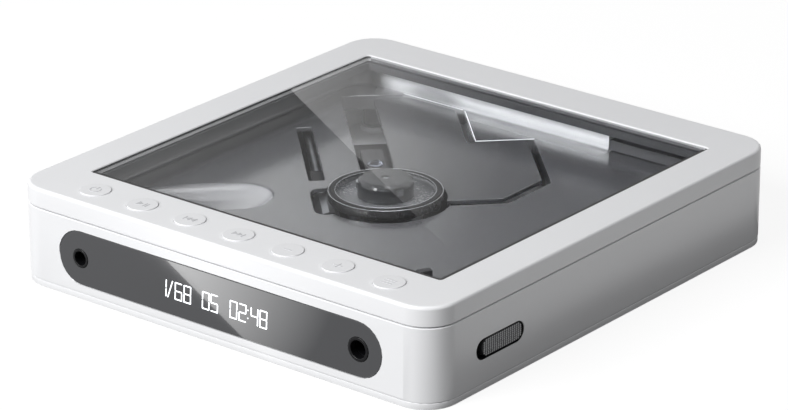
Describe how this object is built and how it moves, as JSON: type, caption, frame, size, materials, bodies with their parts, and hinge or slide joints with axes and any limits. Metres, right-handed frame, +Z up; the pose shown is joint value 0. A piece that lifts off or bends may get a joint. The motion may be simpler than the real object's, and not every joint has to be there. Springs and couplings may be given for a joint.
{
  "type": "portable cd player",
  "caption": "Square portable disc player with a hinged windowed lid, push buttons, a display strip between two headphone jacks, and a disc mechanism with a sled-mounted laser pickup.",
  "frame": {"origin": "centre of the foot plane under the case, on the surface the player lies on", "axes": "+X to the right along the front face, +Y from the front face to the back, +Z up"},
  "size_m": [0.137, 0.145, 0.0271],
  "materials": {
    "white_shell": "satin white",
    "white_button": "polished white",
    "dark_tray": "fine grained charcoal",
    "dark_liner": "smooth dark grey",
    "tinted_glass": "clear, slightly smoked",
    "dark_panel": "gloss black, lit digits behind it",
    "black_plastic": "moulded black",
    "steel": "bright steel",
    "chassis_steel": "dull pressed steel",
    "slider_grey": "knurled grey",
    "black_rubber": "matt",
    "circuit_board": "green lacquer",
    "battery_wrap": "foil wrap",
    "clear_lens": "coated lens"
  },
  "bodies": {
    "case": {"bottom_shell": "white_shell", "disc_tray": "dark_tray", "front_panel": "dark_panel", "display_module": "black_plastic", "headphone_jack": "black_plastic", "headphone_jack_ring": "steel", "balanced_jack": "black_plastic", "balanced_jack_ring": "steel", "main_board": "circuit_board", "battery": "battery_wrap", "charging_board": "circuit_board", "usb_c_port": "steel", "slider_spring": "steel", "lid_switch": "black_plastic", "hinge_cover": "black_plastic", "hinge_bracket_left": "chassis_steel", "hinge_bracket_right": "chassis_steel", "hinge_pin_left": "steel", "hinge_pin_right": "steel", "foot_front_left": "black_rubber", "foot_front_right": "black_rubber", "foot_rear_left": "black_rubber", "foot_rear_right": "black_rubber", "case_screw_front_left": "steel", "case_screw_front_right": "steel", "case_screw_rear_left": "steel", "case_screw_rear_right": "steel", "traverse_chassis": "chassis_steel", "damper_left": "black_rubber", "damper_right": "black_rubber", "damper_outer": "black_rubber", "mechanism_deck": "dark_tray", "spindle_motor": "steel", "guide_rod": "steel", "feed_motor": "steel"},
    "lid": {"lid_frame": "white_shell", "lid_window": "tinted_glass", "lid_liner": "dark_liner", "button_board": "circuit_board", "lid_hook": "black_plastic"},
    "button_power": {"button_power": "white_button"},
    "button_play": {"button_play": "white_button"},
    "button_previous": {"button_previous": "white_button"},
    "button_next": {"button_next": "white_button"},
    "button_minus": {"button_minus": "white_button"},
    "button_plus": {"button_plus": "white_button"},
    "button_menu": {"button_menu": "white_button"},
    "open_slider": {"open_slider": "slider_grey"},
    "turntable": {"turntable": "black_plastic", "turntable_mat": "black_rubber", "spindle_hub": "black_plastic", "spindle_shaft": "steel"},
    "disc_clip_1": {"disc_clip_1": "steel"},
    "disc_clip_2": {"disc_clip_2": "steel"},
    "disc_clip_3": {"disc_clip_3": "steel"},
    "pickup": {"optical_pickup": "black_plastic"},
    "pickup_lens": {"pickup_lens": "clear_lens"},
    "lead_screw": {"lead_screw": "steel"},
    "lid_switch_plunger": {"lid_switch_plunger": "black_plastic"}
  },
  "joints": [
    {"name": "lid_hinge", "type": "hinge", "parent": "case", "child": "lid", "pos_m": [0, 0.0698, 0.0243], "axis": [-1, 0, 0], "range_deg": [0, 80]},
    {"name": "press_power", "type": "slide", "parent": "lid", "child": "button_power", "axis": [0, 0, -1], "range_m": [0, 0.00035], "stiffness_N_per_m": 600, "springref_m": -0.0002},
    {"name": "press_play", "type": "slide", "parent": "lid", "child": "button_play", "axis": [0, 0, -1], "range_m": [0, 0.00035], "stiffness_N_per_m": 600, "springref_m": -0.0002},
    {"name": "press_previous", "type": "slide", "parent": "lid", "child": "button_previous", "axis": [0, 0, -1], "range_m": [0, 0.00035], "stiffness_N_per_m": 600, "springref_m": -0.0002},
    {"name": "press_next", "type": "slide", "parent": "lid", "child": "button_next", "axis": [0, 0, -1], "range_m": [0, 0.00035], "stiffness_N_per_m": 600, "springref_m": -0.0002},
    {"name": "press_minus", "type": "slide", "parent": "lid", "child": "button_minus", "axis": [0, 0, -1], "range_m": [0, 0.00035], "stiffness_N_per_m": 600, "springref_m": -0.0002},
    {"name": "press_plus", "type": "slide", "parent": "lid", "child": "button_plus", "axis": [0, 0, -1], "range_m": [0, 0.00035], "stiffness_N_per_m": 600, "springref_m": -0.0002},
    {"name": "press_menu", "type": "slide", "parent": "lid", "child": "button_menu", "axis": [0, 0, -1], "range_m": [0, 0.00035], "stiffness_N_per_m": 600, "springref_m": -0.0002},
    {"name": "open_slide", "type": "slide", "parent": "case", "child": "open_slider", "axis": [0, -1, 0], "range_m": [0, 0.002], "stiffness_N_per_m": 300, "springref_m": -0.001},
    {"name": "disc_spin", "type": "hinge", "parent": "case", "child": "turntable", "pos_m": [-0.0032, -0.0013, 0.0187], "axis": [0, 0, 1], "continuous": true},
    {"name": "clip_1_press", "type": "slide", "parent": "turntable", "child": "disc_clip_1", "axis": [-0.9397, 0.342, 0], "range_m": [0, 0.0004], "stiffness_N_per_m": 400, "springref_m": -0.0002},
    {"name": "clip_2_press", "type": "slide", "parent": "turntable", "child": "disc_clip_2", "axis": [0.1736, -0.9848, 0], "range_m": [0, 0.0004], "stiffness_N_per_m": 400, "springref_m": -0.0002},
    {"name": "clip_3_press", "type": "slide", "parent": "turntable", "child": "disc_clip_3", "axis": [0.766, 0.6428, 0], "range_m": [0, 0.0004], "stiffness_N_per_m": 400, "springref_m": -0.0002},
    {"name": "pickup_slide", "type": "slide", "parent": "case", "child": "pickup", "axis": [-0.7071, 0.7071, 0], "range_m": [-0.002, 0.0325]},
    {"name": "lens_focus", "type": "slide", "parent": "pickup", "child": "pickup_lens", "axis": [0, 0, 1], "range_m": [-0.0004, 0.0004], "stiffness_N_per_m": 60},
    {"name": "lead_screw_turn", "type": "hinge", "parent": "case", "child": "lead_screw", "pos_m": [-0.01381, -0.01191, 0.0106], "axis": [0.7071, -0.7071, 0], "range_deg": [-250, 3910]},
    {"name": "lid_switch_press", "type": "slide", "parent": "case", "child": "lid_switch_plunger", "axis": [0, 0, -1], "range_m": [0, 0.001], "stiffness_N_per_m": 300, "springref_m": -0.0005}
  ],
  "couplings": [
    {"joint": "lead_screw_turn", "follows": "pickup_slide", "rad_per_m": 2094.4}
  ]
}
